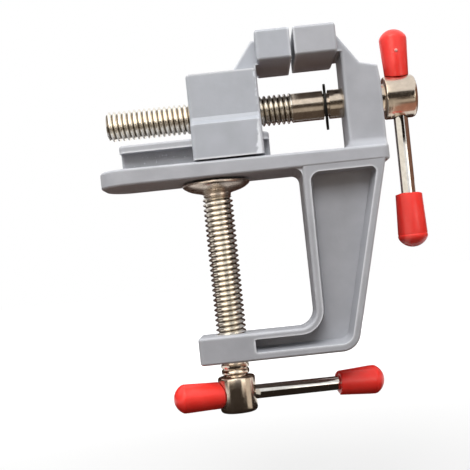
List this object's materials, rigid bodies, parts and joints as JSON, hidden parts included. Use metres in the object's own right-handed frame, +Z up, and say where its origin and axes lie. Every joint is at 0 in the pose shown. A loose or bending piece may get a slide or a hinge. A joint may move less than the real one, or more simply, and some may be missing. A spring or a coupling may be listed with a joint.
{
  "type": "mini bench vise",
  "caption": "Small clamp-on bench vise: a cast C frame with a fixed jaw, a sliding jaw on a T rail, a jaw screw with a cross bar and a swivel-pad clamp screw.",
  "frame": {"origin": "on the clamp screw's axis, at the underside of the base plate where the table top sits", "axes": "+X along the jaw screw towards its handle, +Z up out of the table top, +Y across the jaws, away from the viewer of the front side"},
  "size_m": [0.1012, 0.0265, 0.1169],
  "materials": {
    "grey_casting": "satin grey paint over die-cast aluminium",
    "nickel": "bright nickel plate over steel",
    "black_spring_steel": "black oxide",
    "red_vinyl": "soft glossy red vinyl"
  },
  "bodies": {
    "frame": {"frame_casting": "grey_casting"},
    "ring": {"retaining_ring": "black_spring_steel"},
    "jaw": {"moving_jaw": "grey_casting"},
    "jaw_screw": {"main_screw": "nickel"},
    "jaw_handle": {"main_handle_bar": "nickel", "main_cap_upper": "red_vinyl", "main_cap_lower": "red_vinyl"},
    "pad": {"clamp_pad": "nickel"},
    "clamp_rod": {"clamp_screw": "nickel"},
    "clamp_handle": {"clamp_handle_bar": "nickel", "clamp_cap_left": "red_vinyl", "clamp_cap_right": "red_vinyl"}
  },
  "joints": [
    {"name": "screw_float", "type": "slide", "parent": "frame", "child": "ring", "axis": [1, 0, 0], "range_m": [-0.0014, 0.0004]},
    {"name": "jaw_screw_turn", "type": "hinge", "parent": "ring", "child": "jaw_screw", "pos_m": [0, 0, 0.0204], "axis": [-1, 0, 0], "range_deg": [-6576.4, 90.7]},
    {"name": "jaw_travel", "type": "slide", "parent": "ring", "child": "jaw", "axis": [1, 0, 0], "range_m": [-0.0291, 0.00045]},
    {"name": "jaw_bar_slide", "type": "slide", "parent": "jaw_screw", "child": "jaw_handle", "axis": [0, 0, 1], "range_m": [0, 0.0236]},
    {"name": "clamp_travel", "type": "slide", "parent": "frame", "child": "pad", "axis": [0, 0, 1], "range_m": [-0.0421, 0.00045]},
    {"name": "clamp_turn", "type": "hinge", "parent": "pad", "child": "clamp_rod", "pos_m": [0, 0, -0.03], "axis": [0, 0, 1], "range_deg": [-9524.4, 90.7]},
    {"name": "clamp_bar_slide", "type": "slide", "parent": "clamp_rod", "child": "clamp_handle", "axis": [-0.9778, -0.2078, 0.0279], "range_m": [0, 0.027]}
  ],
  "couplings": [
    {"joint": "jaw_travel", "follows": "jaw_screw_turn", "m_per_rad": 0.00025266},
    {"joint": "clamp_travel", "follows": "clamp_turn", "m_per_rad": 0.00025266}
  ]
}
